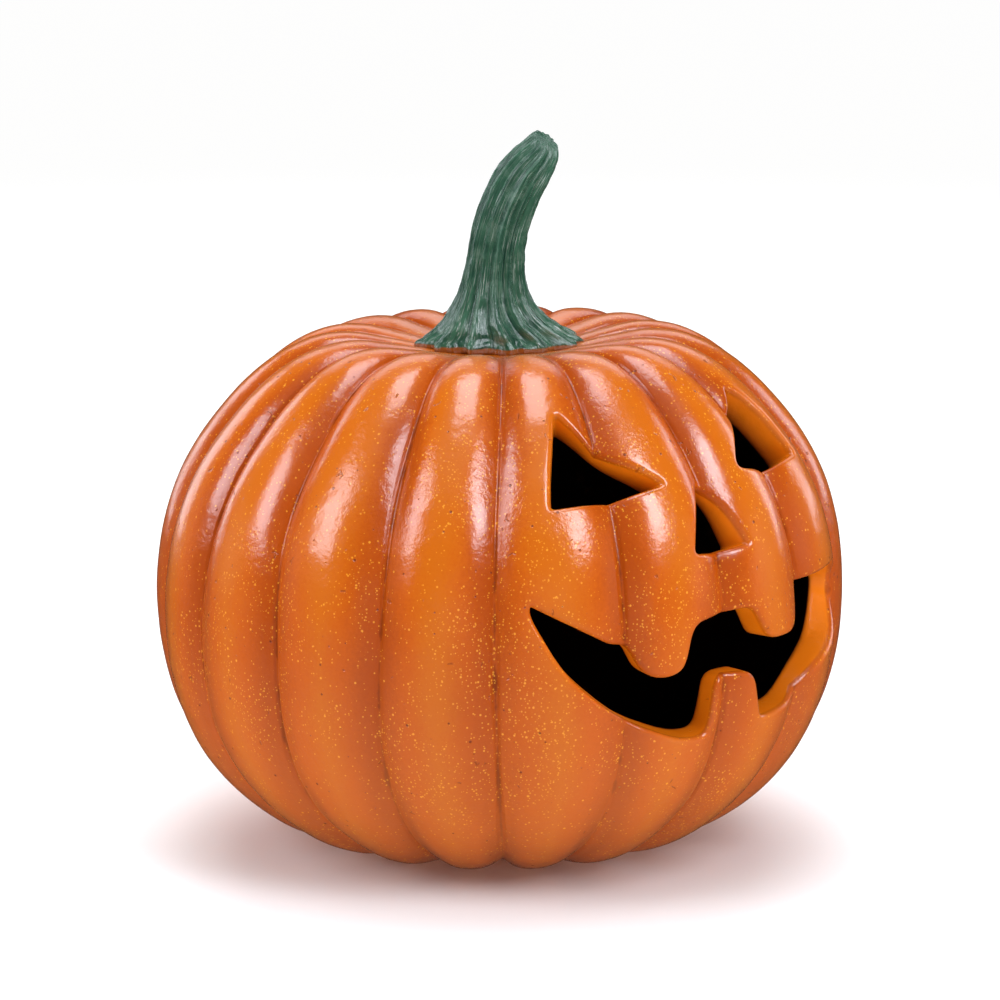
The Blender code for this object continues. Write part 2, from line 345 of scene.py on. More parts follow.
# true lengths on the body for a small step of the map, across and up
def mapScale(points):
    place = placeAt(points[:, 1])
    radius, _, nr, nz = crestAt(place)
    return np.stack([radius / body["mapRadius"], 1 / np.maximum(np.abs(nr), 0.2)], 1)


def offsetOutline(points, distance):
    scale = mapScale(points)
    real = (np.roll(points, -1, 0) - np.roll(points, 1, 0)) * scale
    real /= np.linalg.norm(real, axis=1)[:, None]
    outward = np.stack([real[:, 1], -real[:, 0]], 1)
    return points + outward * distance / scale


def segmentsOf(loops):
    return [(loop, np.roll(loop, -1, 0)) for loop in loops]


def distanceTo(points, loops):
    best = np.full(len(points), 1e9)
    scale = mapScale(points)
    for a, b in segmentsOf(loops):
        for start, finish in zip(a, b):
            d = (finish - start) * scale
            w = (points - start) * scale
            t = np.clip(np.sum(w * d, 1) / np.maximum(np.sum(d * d, 1), 1e-9), 0, 1)
            best = np.minimum(best, np.linalg.norm(w - d * t[:, None], axis=1))
    return best


def insideOf(points, starts, finishes):
    odd = np.zeros(len(points), bool)
    for (ax, ay), (bx, by) in zip(starts, finishes):
        crosses = (ay > points[:, 1]) != (by > points[:, 1])
        if ay != by:
            odd ^= crosses & (points[:, 0] < (bx - ax) * (points[:, 1] - ay) / (by - ay) + ax)
    return odd


def insideLoops(points, loops):
    odd = np.zeros(len(points), bool)
    for a, b in segmentsOf(loops):
        odd |= insideOf(points, a, b)
    return odd


# A rolled-out sheet of the body with the openings left out of it.
# Returns map points, places, and faces; each loop's points come first.
def cutSheet(angles, places, loops, clear):
    rows, columns = angles.shape
    heights = crestHeight(places)[:, None] * np.ones((1, columns))
    flat = np.stack([angles.ravel() * around, heights.ravel()], 1)
    placeAll = (places[:, None] * np.ones((1, columns))).ravel()
    nearFace = (np.abs(angles.ravel()) < body["faceHalf"]) & (flat[:, 1] > body["faceLow"])
    nearFace &= placeAll > finePlaces[topIndex] + body["faceStart"]
    far = np.full(len(flat), 1e9)
    some = np.where(nearFace)[0]
    far[some] = distanceTo(flat[some], loops)
    far[some[insideLoops(flat[some], loops)]] = -1
    taken = (far < clear).reshape(rows, columns)
    nextTaken = np.roll(taken, -1, 1)
    removed = taken[:-1] | taken[1:] | nextTaken[:-1] | nextTaken[1:]

    ringCount = sum(len(loop) for loop in loops)

    def number(row, column):
        return ringCount + row * columns + column % columns

    faces, edges, used = [], {}, set()
    for row in range(rows - 1):
        for column in range(columns):
            quad = (number(row, column), number(row + 1, column),
                    number(row + 1, column + 1), number(row, column + 1))
            if not removed[row, column]:
                faces.append(quad)
                continue
            used.update(quad)
            for a, b in zip(quad, quad[1:] + quad[:1]):
                if (b, a) in edges:
                    del edges[(b, a)]
                else:
                    edges[(a, b)] = True
    allFlat = np.concatenate(list(loops) + [flat])
    keep = [i for i in sorted(used) if far[i - ringCount] >= clear]
    ids = list(range(ringCount)) + keep
    back = {name: i for i, name in enumerate(ids)}
    lines = [(back[a], back[b]) for a, b in edges]
    start = 0
    for loop in loops:
        lines += [(start + i, start + (i + 1) % len(loop)) for i in range(len(loop))]
        start += len(loop)
    given = [Vector(allFlat[i]) for i in ids]
    points, _, triangles, sources, _, _ = delaunay_2d_cdt(given, lines, [], 0, 1e-5)
    centres = np.array([(points[a] + points[b] + points[c]) / 3 for a, b, c in triangles])
    borderA = np.array([allFlat[a] for a, b in edges])
    borderB = np.array([allFlat[b] for a, b in edges])
    wanted = insideOf(centres, borderA, borderB) & ~insideLoops(centres, loops)
    for good, triangle in zip(wanted, triangles):
        if good:
            faces.append(tuple(ids[sources[i][0]] for i in triangle))
    return allFlat, placeAll, ringCount, faces


def meshFrom(name, points, faces, values):
    mesh = bpy.data.meshes.new(name)
    mesh.from_pydata([tuple(p) for p in points], [], faces)
    for key, numbers in values.items():
        layer = mesh.attributes.new(key, "FLOAT", "POINT")
        layer.data.foreach_set("value", np.asarray(numbers, np.float32))
    work = bmesh.new()
    work.from_mesh(mesh)
    loose = [v for v in work.verts if not v.link_faces]
    bmesh.ops.delete(work, geom=loose, context="VERTS")
    bmesh.ops.remove_doubles(work, verts=work.verts, dist=body["mergeWithin"] * mm)
    work.to_mesh(mesh)
    work.free()
    mesh.shade_smooth()
    piece = bpy.data.objects.new(name, mesh)
    bpy.context.scene.collection.objects.link(piece)
    return piece


# keeps the points of one part of the shell, and gives their numbers
def gather(parts, points, wallShare, across):
    first = parts["count"]
    parts["count"] = first + len(points)
    parts["points"].append(points)
    parts["wallShare"].append(np.full(len(points), wallShare, float))
    parts["across"].append(np.full(len(points), across, float))
    return np.arange(first, parts["count"])


# a band of faces between two rings of as many points
def bridge(faces, ring, other, turned=False):
    for a, b, c, d in zip(ring, np.roll(ring, -1), np.roll(other, -1), other):
        faces.append((d, c, b, a) if turned else (a, b, c, d))


# closes a rim with smaller and smaller rings
def closeRim(parts, faces, rim, wallShare, turned, dip=0):
    points = np.concatenate(parts["points"])[rim]
    centre = points.mean(0)
    for share in body["capSteps"]:
        ring = centre + (points - centre) * share
        ring[:, 2] -= dip * (1 - share ** 2)
        names = gather(parts, ring, wallShare, 0.5)
        bridge(faces, rim, names, turned)
        rim = names
    tip = gather(parts, ring.mean(0)[None], wallShare, 0.5)[0]
    for a, b in zip(rim, np.roll(rim, -1)):
        faces.append((tip, b, a) if turned else (a, b, tip))


# the rings of an opening from its lip inwards, each with its share of the wall, and its inner outline
def openingRings(wall, cut):
    place = placeAt(wall[:, 1])
    _, _, nr, nz = crestAt(place)
    middle = wall.mean(0)
    sunk = middle + (wall - middle) * cut["narrowing"]
    low = np.exp(-((wall[:, 1] - body["draftHeight"]) / body["draftSpread"]) ** 2)
    sunk[:, 0] -= cut["rightDraft"] * smooth(*body["draftRun"], wall[:, 0] / around) * low
    sunk[:, 1] += body["wall"] * np.sin(np.arctan2(nz, nr) * (1 - cut["slope"])) * np.abs(nr)
    surface, across = outerPoint(wall[:, 0] / around, place)
    inward = innerPoint(sunk[:, 0] / around, placeAt(sunk[:, 1])) - surface
    depth = np.linalg.norm(inward, axis=1)
    inward /= depth[:, None]
    lip = body["lipRadius"]
    lipStart, lipGrowth = body["lipShares"]
    wallStart, wallGrowth = body["wallShares"]
    rings = []
    for degrees in body["lipAngles"]:
        a = math.radians(degrees)
        ring = offsetOutline(wall, lip * (1 - math.sin(a)))
        base, _ = outerPoint(ring[:, 0] / around, placeAt(ring[:, 1]))
        rings.append((base + inward * lip * (1 - math.cos(a)), lipStart + lipGrowth * degrees / 90))
    for share in body["wallSteps"]:
        reach = lip + (depth - lip - body["innerLip"]) * share
        rings.append((surface + inward * reach[:, None], wallStart + wallGrowth * share))
    return rings, across, offsetOutline(sunk, body["innerLip"])


def makeShell():
    half = np.array(body["halfLobeSteps"]) / (pitch * around)
    shares = np.concatenate([half, [0.5], 1 - half[:0:-1]])
    places = evenPlaces(body["rows"])
    lobes = np.arange(body["lobes"]) - body["lobes"] // 2
    angles = []
    for place in places:
        left, right = grooveEdges(lobes, place * np.ones(len(lobes)))
        angles.append((left[:, None] + (right - left)[:, None] * shares[None]).ravel())
    angles = np.array(angles)

    walls = [roundedOutline(cut["corners"]) for cut in face.values()]
    lips = [offsetOutline(wall, body["lipRadius"]) for wall in walls]
    flat, placeAll, lipCount, faces = cutSheet(angles, places, lips, body["outerClear"])
    place = np.concatenate([placeAt(flat[:lipCount, 1]), placeAll])
    outside, across = outerPoint(flat[:, 0] / around, place)
    parts = {"count": 0, "points": [], "wallShare": [], "across": []}
    outer = gather(parts, outside, 0, across)

    lastRings, innerLoops = [], []
    start = 0
    for wall, cut in zip(walls, face.values()):
        ring = outer[start:start + len(wall)]
        start += len(wall)
        deeper, across, innerLoop = openingRings(wall, cut)
        for points, share in deeper:
            names = gather(parts, points, share, across)
            bridge(faces, ring, names)
            ring = names
        lastRings.append(ring)
        innerLoops.append(innerLoop)

    # inside of the wall
    innerAngles = np.linspace(-180, 180, body["innerColumns"], endpoint=False)
    innerAngles = np.tile(innerAngles, (body["innerRows"], 1))
    innerPlaces = evenPlaces(body["innerRows"])
    flat, placeAll, loopCount, innerFaces = cutSheet(innerAngles, innerPlaces, innerLoops, body["innerClear"])
    place = np.concatenate([placeAt(flat[:loopCount, 1]), placeAll])
    inner = gather(parts, innerPoint(flat[:, 0] / around, place), 1, 0.5)
    faces += [tuple(inner[i] for i in reversed(f)) for f in innerFaces]
    start = 0
    for ring in lastRings:
        bridge(faces, ring, inner[start:start + len(ring)])
        start += len(ring)

    # crown and foot, outside and inside
    outerRows = outer[lipCount:].reshape(angles.shape)
    innerRows = inner[loopCount:].reshape(innerAngles.shape)
    closeRim(parts, faces, outerRows[0], 0, False, body["crownDip"])
    closeRim(parts, faces, outerRows[-1], 0, True)
    closeRim(parts, faces, innerRows[0], 1, True)
    closeRim(parts, faces, innerRows[-1], 1, False)

    across = np.concatenate(parts["across"])
    points = slump(roughen(np.concatenate(parts["points"])))
    return meshFrom("pumpkinShell", points * mm, faces, {
        "wallShare": np.concatenate(parts["wallShare"]),
        "lobeShare": 2 * np.minimum(across, 1 - across),
        "lobeSide": across,
    })


stem = {
    # (height, shift along the lean, radius, lean angle, twist of the ridges, flattening of the front)
    "stations": [
        (228.8, 0.0, 34.6, 0, 0.0, 0.70), (232.0, 0.0, 35.0, 0, 0.0, 0.70),
        (233.4, 0.0, 34.7, 0, 0.0, 0.70), (234.8, 0.0, 33.0, 0, 0.6, 0.71),
        (237.0, -0.3, 30.2, 0, 0.8, 0.76), (239.8, -1.0, 26.8, 0, 1.0, 0.86),
        (243.4, -2.0, 22.6, 0, 1.2, 0.90), (248.6, -2.7, 18.6, 0, 1.4, 0.95),
        (255.0, -2.6, 15.6, 1, 1.0, 1.0), (262.0, -2.3, 13.5, 4, 0.5, 1.0),
        (270.0, -1.8, 12.5, 6, -0.6, 1.0), (279.0, -0.9, 12.0, 10, -1.2, 1.0),
        (288.0, 1.0, 11.9, 15, -1.5, 1.0), (297.0, 4.0, 11.8, 20, -1.0, 1.0),
        (305.0, 7.6, 11.6, 25, -0.4, 1.0), (312.0, 11.7, 11.2, 28, 0.6, 1.0),
        (318.2, 16.5, 9.8, 30, 1.0, 1.0), (322.6, 19.8, 8.3, 31, 1.0, 1.0), (326.2, 21.4, 6.4, 34, 0.6, 1.0),
    ],
    "ridges": 13,
    "ridgeSection": [1.09, 1.055, 0.995, 0.94, 0.905, 0.93, 0.985, 1.06],
    "ridgeSizes": [1.0, 1.05, 0.97, 1.03, 0.96, 1.05, 0.98, 1.02, 1.04, 0.95, 1.03, 0.98, 1.03],
    "toes": [(262, 1.05), (318, 1.05), (12, 1.06), (66, 1.04), (98, 1.05), (150, 1.05), (205, 1.06)],
    "ridgeOffset": 3,  # a ridge starts this many points before its crest
    "sideways": 4,  # the rings before this one grow to the sides alone
    "nodRings": 3,
    "nod": 22,
    "tipSteps": (0.9, 0.72, 0.4, 0.0),
    "tipSink": 0.2,
    "frontRings": 8,
    "frontFrom": 2,
    # (below this height, outside this radius, places on a ridge, reach) of the hollows between the toes
    "hollows": (235.0, 10, (3, 4, 5), 1.06),
    # (below this height, outside this radius, nearness to its angle) of a toe
    "toeArea": (236.2, 20, 0.985),
    "leanAzimuth": 50,
    "rounding": 2,
    "knockWidth": 6,
    "knockDepth": 1.2,
}


def pickVertices(piece, test):
    work = bmesh.from_edit_mesh(piece.data)
    for vertex in work.verts:
        vertex.select = bool(test(vertex))
    work.select_flush_mode()
    bmesh.update_edit_mesh(piece.data)


def scaleAbout(x, y, z, centre=(0, 0, 0)):
    bpy.ops.transform.resize(value=(x, y, z), center_override=centre)


def turnAbout(degrees, axis, centre=(0, 0, 0)):
    bpy.ops.transform.rotate(value=math.radians(degrees), orient_axis=axis, center_override=centre)


def extrudeBy(x, y, z):
    bpy.ops.mesh.extrude_region_move(TRANSFORM_OT_translate={"value": (x, y, z)})


# a ridged ring at the foot, extruded from station to station up to the tip
def growStem(piece, order):
    stations, section = stem["stations"], stem["ridgeSection"]
    for step, factor in enumerate(section):
        pickVertices(piece, lambda v: order[v.index] % len(section) == step)
        scaleAbout(factor, factor, 1)
    shifted = {i: place + stem["ridgeOffset"] for i, place in order.items()}
    for ridge, factor in enumerate(stem["ridgeSizes"]):
        pickVertices(piece, lambda v: shifted[v.index] // len(section) % stem["ridges"] == ridge)
        scaleAbout(factor, factor, 1)
    bpy.ops.mesh.select_all(action="SELECT")
    bpy.ops.transform.translate(value=(0, 0, stations[0][0] * mm))
    for here, (before, after) in enumerate(zip(stations, stations[1:]), 1):
        centre = Vector((after[1], 0, after[0])) * mm
        extrudeBy(centre.x - before[1] * mm, 0, centre.z - before[0] * mm)
        work = bmesh.from_edit_mesh(piece.data)
        layer = work.verts.layers.float["ringAlong"]
        for vertex in work.verts:
            if vertex.select:
                vertex[layer] = here / (len(stations) - 1)
        bmesh.update_edit_mesh(piece.data)
        size = after[2] / before[2]
        scaleAbout(size, size, 1 if here < stem["sideways"] else size, centre)
        turnAbout(before[3] - after[3], "Y", centre)
        turnAbout(after[4], "Z", centre)
        if here >= len(stations) - stem["nodRings"]:
            turnAbout(-stem["nod"] / stem["nodRings"], "X", centre)
    for share in stem["tipSteps"]:
        extrudeBy(0, 0, -stem["tipSink"] * mm)
        share = max(share, 0.001)
        scaleAbout(share, share, share, centre)
    bpy.ops.mesh.merge(type="CENTER")


# the front of the foot is flatter, some toes reach further, and its underside is closed
def shapeFoot(piece, order):
    stations, ridge = stem["stations"], len(stem["ridgeSection"])
    for station in stations[:stem["frontRings"]]:
        level, front = station[0] * mm, station[5]
        pickVertices(piece, lambda v: abs(v.co.z - level) < 0.4 * mm and v.co.y < -stem["frontFrom"] * mm)
        scaleAbout(1, front, 1)

    def inFoot(vertex, height, radius):
        return vertex.co.z < height * mm and vertex.co.xy.length > radius * mm

    height, radius, places, reach = stem["hollows"]
    pickVertices(piece, lambda v: inFoot(v, height, radius) and order[v.index % len(order)] % ridge in places)
    scaleAbout(reach, reach, 1)
    height, radius, near = stem["toeArea"]
    for angle, reach in stem["toes"]:
        way = Vector((math.sin(math.radians(angle)), math.cos(math.radians(angle))))
        pickVertices(piece, lambda v: inFoot(v, height, radius) and v.co.xy.normalized().dot(way) > near)
        scaleAbout(reach, reach, 1)
    pickVertices(piece, lambda v: v.co.z < (stations[0][0] + 0.3) * mm)
    extrudeBy(0, 0, 0)
    scaleAbout(0.5, 0.5, 1)
    bpy.ops.mesh.merge(type="CENTER")


# leans up to the right of the face, and is turned to its azimuth at the end
def makeStem():
    bpy.ops.object.select_all(action="DESELECT")
    count = stem["ridges"] * len(stem["ridgeSection"])
    bpy.ops.mesh.primitive_circle_add(vertices=count, radius=stem["stations"][0][2] * mm, location=(0, 0, 0))
    piece = bpy.context.object
    piece.name = piece.data.name = "pumpkinStem"
    for key in ("ringAlong", "ringX", "ringY"):
        piece.data.attributes.new(key, "FLOAT", "POINT")
    turns = [math.atan2(v.co.y, v.co.x) for v in piece.data.vertices]
    piece.data.attributes["ringX"].data.foreach_set("value", [math.cos(t) for t in turns])
    piece.data.attributes["ringY"].data.foreach_set("value", [math.sin(t) for t in turns])
    order = {i: round(t / (2 * math.pi) * count) % count for i, t in enumerate(turns)}

    bpy.ops.object.mode_set(mode="EDIT")
    bpy.context.tool_settings.mesh_select_mode = (True, False, False)
    growStem(piece, order)
    shapeFoot(piece, order)
    bpy.ops.mesh.select_all(action="SELECT")
    turnAbout(90 - stem["leanAzimuth"], "Z")
    bpy.ops.mesh.normals_make_consistent(inside=False)
    bpy.ops.object.mode_set(mode="OBJECT")

    rounding = piece.modifiers.new("rounding", "SUBSURF")
    rounding.levels = rounding.render_levels = stem["rounding"]
    bpy.ops.object.modifier_apply(modifier="rounding")
    bark = bpy.data.textures.new("bark", "CLOUDS")
    bark.noise_scale, bark.noise_depth = stem["knockWidth"] * mm, 2
    knocks = piece.modifiers.new("knocks", "DISPLACE")
    knocks.texture, knocks.texture_coords = bark, "LOCAL"
    knocks.strength, knocks.mid_level = stem["knockDepth"] * mm, 0.5
    bpy.ops.object.modifier_apply(modifier="knocks")
    bpy.data.textures.remove(bark)
    bpy.ops.object.shade_smooth()
    return piece


def newMaterial(name):
    material = bpy.data.materials.new(name)
    material.use_nodes = True
    tree = material.node_tree
    return material, tree, tree.nodes["Principled BSDF"]


def addNode(tree, kind, **values):
    node = tree.nodes.new(kind)
    for key, value in values.items():
        if key.startswith("in_"):
            node.inputs[int(key[3:])].default_value = value
        else:
            setattr(node, key, value)
    return node


def mathNode(tree, operation, a, b=None):
    node = addNode(tree, "ShaderNodeMath", operation=operation)
    for i, value in enumerate((a, b)):
        if value is None:
            continue
        if isinstance(value, (int, float)):
            node.inputs[i].default_value = value
        else:
            tree.links.new(value, node.inputs[i])
    return node.outputs[0]


def rampNode(tree, value, low, high, first=0.0, last=1.0):
    node = addNode(tree, "ShaderNodeMapRange", interpolation_type="SMOOTHSTEP")
    tree.links.new(value, node.inputs[0])
    for i, number in enumerate((low, high, first, last)):
        if isinstance(number, (int, float)):
            node.inputs[i + 1].default_value = number
        else:
            tree.links.new(number, node.inputs[i + 1])
    return node.outputs[0]


def mixColour(tree, share, first, second):
    node = addNode(tree, "ShaderNodeMix", data_type="RGBA")
    for socket, value in ((node.inputs[0], share), (node.inputs[6], first), (node.inputs[7], second)):
        if isinstance(value, (tuple, list)):
            socket.default_value = (*value, 1.0) if len(value) == 3 else value
        elif isinstance(value, (int, float)):
            socket.default_value = value
        else:
            tree.links.new(value, socket)
    return node.outputs[2]


def noiseNode(tree, place, scale, detail=2.0, rough=0.5):
    node = addNode(tree, "ShaderNodeTexNoise")
    node.inputs["Scale"].default_value = scale
    node.inputs["Detail"].default_value = detail
    node.inputs["Roughness"].default_value = rough
    tree.links.new(place, node.inputs["Vector"])
    return node.outputs["Fac"]


def attributeNode(tree, name):
    return addNode(tree, "ShaderNodeAttribute", attribute_name=name).outputs["Fac"]


def splitPlace(tree, place):
    split = tree.nodes.new("ShaderNodeSeparateXYZ")
    tree.links.new(place, split.inputs[0])
    return split.outputs


def setShader(shader, values):
    for name, value in values.items():
        shader.inputs[name].default_value = value


# a value moved by how far a noise is from its middle
def strayed(tree, value, cloud, amount, middle=0.5):
    off = mathNode(tree, "SUBTRACT", cloud, middle)
    return mathNode(tree, "ADD", value, mathNode(tree, "MULTIPLY", off, amount))


def tinted(tree, colour, share, amount, tint):
    return mixColour(tree, mathNode(tree, "MULTIPLY", share, amount), colour, tint)


# the sum of heights, each with its amount, as a bump under the gloss
def addBump(tree, shader, heights, strength, distance):
    total = None
    for height, amount in heights:
        height = mathNode(tree, "MULTIPLY", height, amount)
        total = height if total is None else mathNode(tree, "ADD", total, height)
    bump = addNode(tree, "ShaderNodeBump")
    bump.inputs["Strength"].default_value = strength
    bump.inputs["Distance"].default_value = distance * mm
    tree.links.new(total, bump.inputs["Height"])
    for name in ("Normal", "Coat Normal"):
        tree.links.new(bump.outputs[0], shader.inputs[name])


spotShape = {
    "sizePower": 1.6,
    "smallest": 0.02,
    "hardShare": 0.55,
}


# paint dots thrown over the surface: a mask of round spots of mixed sizes
def makeSpotGroup():
    group = bpy.data.node_groups.new("paintSpots", "ShaderNodeTree")
    group.interface.new_socket("Place", in_out="INPUT", socket_type="NodeSocketVector")
    for name in ("Scale", "Largest", "Share"):
        group.interface.new_socket(name, in_out="INPUT", socket_type="NodeSocketFloat")
    group.interface.new_socket("Mask", in_out="OUTPUT", socket_type="NodeSocketFloat")
    start, finish = group.nodes.new("NodeGroupInput"), group.nodes.new("NodeGroupOutput")
    cells = addNode(group, "ShaderNodeTexVoronoi", feature="F1")
    group.links.new(start.outputs["Place"], cells.inputs["Vector"])
    group.links.new(start.outputs["Scale"], cells.inputs["Scale"])
    split = group.nodes.new("ShaderNodeSeparateColor")
    group.links.new(cells.outputs["Color"], split.inputs[0])
    chosen = mathNode(group, "LESS_THAN", split.outputs[0], start.outputs["Share"])
    size = mathNode(group, "POWER", split.outputs[1], spotShape["sizePower"])
    size = mathNode(group, "MULTIPLY", size, start.outputs["Largest"])
    size = mathNode(group, "ADD", size, spotShape["smallest"])
    hard = mathNode(group, "MULTIPLY", size, spotShape["hardShare"])
    dot = rampNode(group, cells.outputs["Distance"], hard, size, 1.0, 0.0)
    group.links.new(mathNode(group, "MULTIPLY", dot, chosen), finish.inputs["Mask"])
    return group


def useSpots(tree, group, place, scale, largest, share):
    node = tree.nodes.new("ShaderNodeGroup")
    node.node_tree = group
    tree.links.new(place, node.inputs["Place"])
    node.inputs["Scale"].default_value = scale
    node.inputs["Largest"].default_value = largest
    if isinstance(share, (int, float)):
        node.inputs["Share"].default_value = share
    else:
        tree.links.new(share, node.inputs["Share"])
    return node.outputs["Mask"]


paint = {
    "orange": (0.495, 0.085, 0.001),
    # yellower orange on the crests: partly the paint's second tone, partly a painted highlight
    "crestToneAndHighlight": (0.530, 0.115, 0.002),
    # airbrushed groove colour, also used as painted shade in the grooves and on one flank of each lobe
    "groove": (0.33, 0.046, 0.001),
    # dark line along the groove bottoms: pooled paint with painted crease shade
    "creaseShadePool": (0.17, 0.023, 0.001),
    "spot": (0.86, 0.38, 0.028),
    "pit": (0.13, 0.025, 0.008),
    # paler, pinker colour low down: a painted reflection of the floor, with a light dusting
    "floorSheenAndDust": (0.66, 0.20, 0.055),
    # painted shade deep in the walls of the eyes and nose
    "paintedWallShade": (0.20, 0.036, 0.002),
    # lighter orange of the returns: partly the paint's own tone, partly painted light
    "wall": (0.70, 0.165, 0.004),
    # near-black inside: painted shade standing in for the darkness in the hollow
    "inside": (0.006, 0.0015, 0.001),
    # (scale, detail, roughness) of each noise
    "cloud": (16, 3),
    "fog": (60, 4, 0.6),
    "grain": (700, 3, 0.6),
    "spotPatches": (26, 2),
    "nickPatches": (150, 2),
    "leatherPatches": (30, 2),
    "peel": (130, 3, 0.55),
    "leather": (380, 4, 0.65),
    # (from, to, first, last) of each ramp, over a share of the lobe or the wall, or metres
    "crownFade": (0.036, 0.062, 0.45, 0.0),
    "shadeEdge": (-0.05, 0.62, 1.0, 0.0),
    # more of the yellower orange towards the top, as a painted highlight
    "topHighlightHeight": (0.10, 0.20, 0.0, 0.35),
    "crestToneAndHighlightEdge": (0.5, 1.15),
    # painted shade on one flank of each lobe: which flank depends on the side of the body
    "shadedFlankTurn": (-0.11, -0.04),
    "shadedFlankEdge": (0.60, 0.98),
    "creaseShadePoolEdge": (0.0, 0.05, 0.75, 0.0),
    "floorSheenAndDustHeight": (0.05, 0.15, 0.28, 0.0),
    "spotRange": (0.38, 0.62, 0.22, 1.0),
    "nickWidth": (0.015, 0.05, 1.0, 0.0),
    "nickRange": (0.685, 0.72),
    "wallEdge": (0.03, 0.2),
    "paintedWallShadeEdge": (0.25, 0.95),
    "paintedWallShadeHeight": (0.14, 0.165, 0.0, 0.8),
    "hollowShadeEdge": (0.80, 0.99),
    "roughRange": (0.2, 0.8, 0.32, 0.42),
    "roughWall": (0.6, 1.0, 0.0, 0.4),
    "coatWall": (0.08, 0.22, 1.0, 0.15),
    "coatCreaseShadePool": (0.0, 0.28, 0.4, 1.0),
    "leatherRange": (0.47, 0.64, 0.06, 1.0),
    "nickCells": 130,
    # how far a noise moves the edge of a shade, and how much of a colour is mixed in
    "shadeCloud": 0.9,
    "shadeFog": 0.35,
    "shadeGrain": 0.6,
    "shadedFlankCloud": 0.5,
    "creaseShadePoolFog": (0.22, 0.44),
    "floorSheenAndDustCloud": 0.05,
    "wallFog": 0.15,
    "shadeMix": 0.74,
    "shadedFlankMix": 0.5,
    "spotMix": 0.6,
    "fineMix": 0.8,
    "pitMix": 0.75,
    "nickMix": 0.42,
    # (scale, largest size, share of the cells that hold a spot)
    "fineSpots": (800, 0.46, 1.0),
    "smallSpots": (500, 0.34, 1.0),
    "largeSpots": (270, 0.21, 0.5),
    "pits": (200, 0.15, 0.6),
    # heights under the gloss, and the (strength, depth in millimetres) of the whole
    "peelHeight": 0.45,
    "leatherHeight": 0.46,
    "grainHeight": 0.10,
    "holeHeight": -0.8,
    "bump": (0.5, 1.2),
    "gloss": {"Coat Roughness": 0.17, "Coat IOR": 1.8, "Specular IOR Level": 0.1},
}


